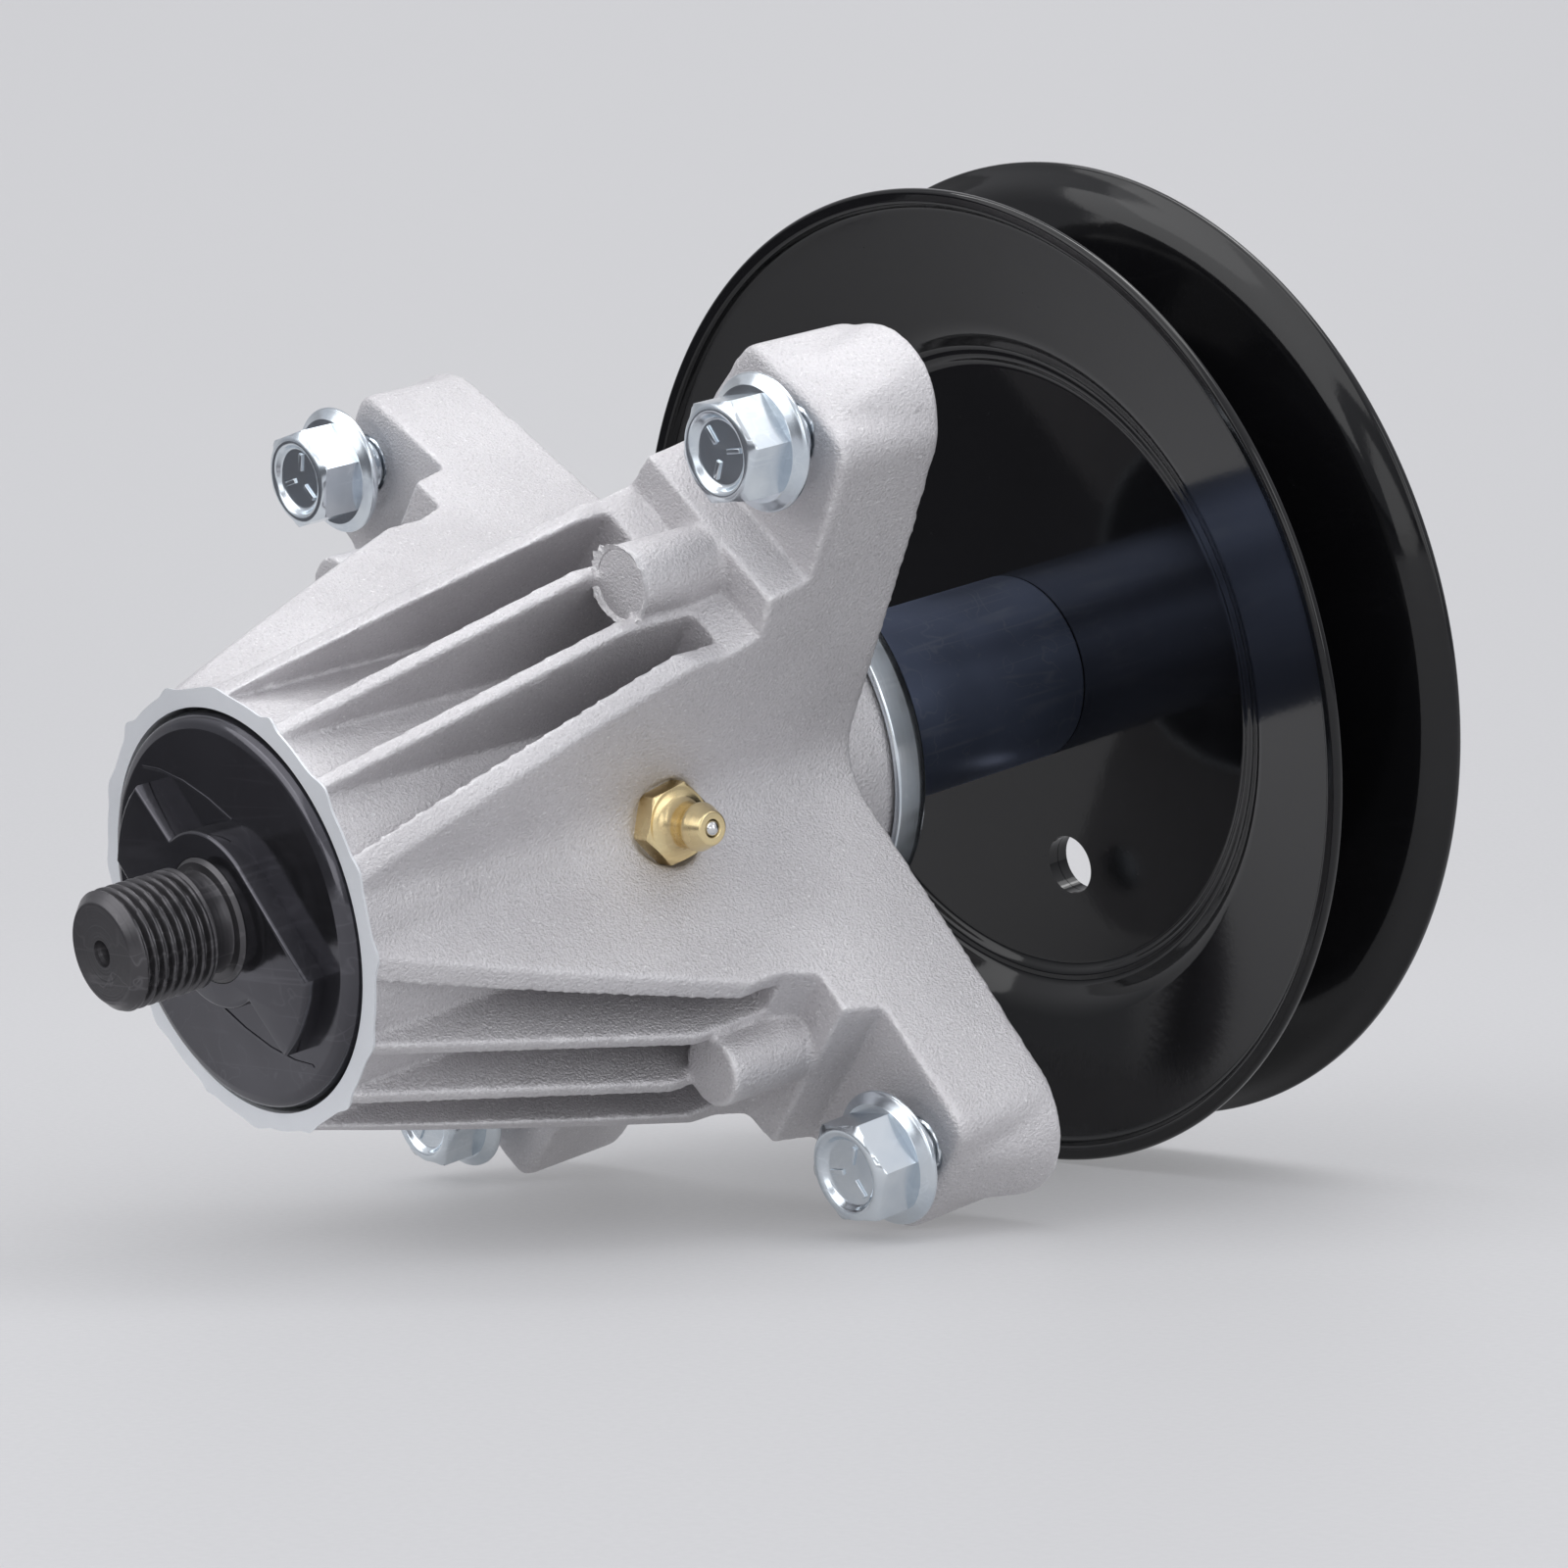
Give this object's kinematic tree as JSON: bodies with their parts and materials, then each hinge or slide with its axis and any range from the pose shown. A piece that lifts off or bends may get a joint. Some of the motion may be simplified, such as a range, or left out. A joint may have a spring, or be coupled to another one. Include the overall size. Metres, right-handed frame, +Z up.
{
  "type": "mower deck spindle",
  "caption": "Lawn mower deck spindle: ribbed cast housing with slanted ears, keyed blade driver, threaded shaft end, spacer tube and pressed V-belt pulley",
  "frame": {"origin": "middle of the underside of the box round the spindle as it lies at rest on two ears of the housing and the front rim of the pulley", "axes": "+Y runs level along the spindle from the threaded blade end to the pulley, +Z is up, +X points to the side with the grease fitting; the shaft itself rises 13 degrees towards the pulley"},
  "size_m": [0.144, 0.1868, 0.1465],
  "materials": {
    "cast_aluminium": "as-cast, light satin, machined where bored",
    "black_oxide": "black oxide over turned steel, satin",
    "black_lacquer": "gloss black paint over pressed steel",
    "driver_black": "half-gloss black",
    "blued_steel": "blue-black steel with fine scratches",
    "zinc": "clear blue zinc plate",
    "bearing_steel": "ground and polished",
    "cage_steel": "plain pressed steel",
    "seal_rubber": "matt black",
    "brass": "bright, machined",
    "plain_steel": "plain turned steel"
  },
  "bodies": {
    "housing": {"spindle_housing": "cast_aluminium", "lower_bearing_outer_race": "bearing_steel", "upper_bearing_outer_race": "bearing_steel", "lower_bearing_seals": "seal_rubber", "upper_bearing_seals": "seal_rubber", "grease_fitting_body": "brass", "mounting_bolts": "zinc"},
    "spindle": {"spindle_shaft": "black_oxide", "blade_driver": "driver_black", "inner_spacer": "plain_steel", "dust_shield": "zinc", "pulley_spacer": "blued_steel", "pulley_front_half": "black_lacquer", "pulley_rear_half": "black_lacquer", "pulley_nut": "zinc", "lower_bearing_inner_race": "bearing_steel", "upper_bearing_inner_race": "bearing_steel"},
    "lower_ball_set": {"lower_bearing_balls": "bearing_steel", "lower_bearing_cage": "cage_steel"},
    "upper_ball_set": {"upper_bearing_balls": "bearing_steel", "upper_bearing_cage": "cage_steel"},
    "check_ball": {"grease_fitting_ball": "bearing_steel", "grease_fitting_spring": "plain_steel"}
  },
  "joints": [
    {"name": "spindle_spin", "type": "hinge", "parent": "housing", "child": "spindle", "pos_m": [0, -0.0333, 0.05233], "axis": [0, 0.9781, 0.208], "continuous": true},
    {"name": "lower_ball_spin", "type": "hinge", "parent": "housing", "child": "lower_ball_set", "pos_m": [0, -0.05873, 0.04692], "axis": [0, 0.9781, 0.208], "continuous": true},
    {"name": "upper_ball_spin", "type": "hinge", "parent": "housing", "child": "upper_ball_set", "pos_m": [0, 0.01267, 0.06211], "axis": [0, 0.9781, 0.208], "continuous": true},
    {"name": "check_ball_lift", "type": "slide", "parent": "housing", "child": "check_ball", "axis": [-0.9976, -0.0145, 0.0682], "range_m": [0, 0.0008], "stiffness_N_per_m": 200, "springref_m": -0.002}
  ],
  "couplings": [
    {"joint": "lower_ball_spin", "follows": "spindle_spin", "ratio": 0.3815},
    {"joint": "upper_ball_spin", "follows": "spindle_spin", "ratio": 0.3815}
  ]
}
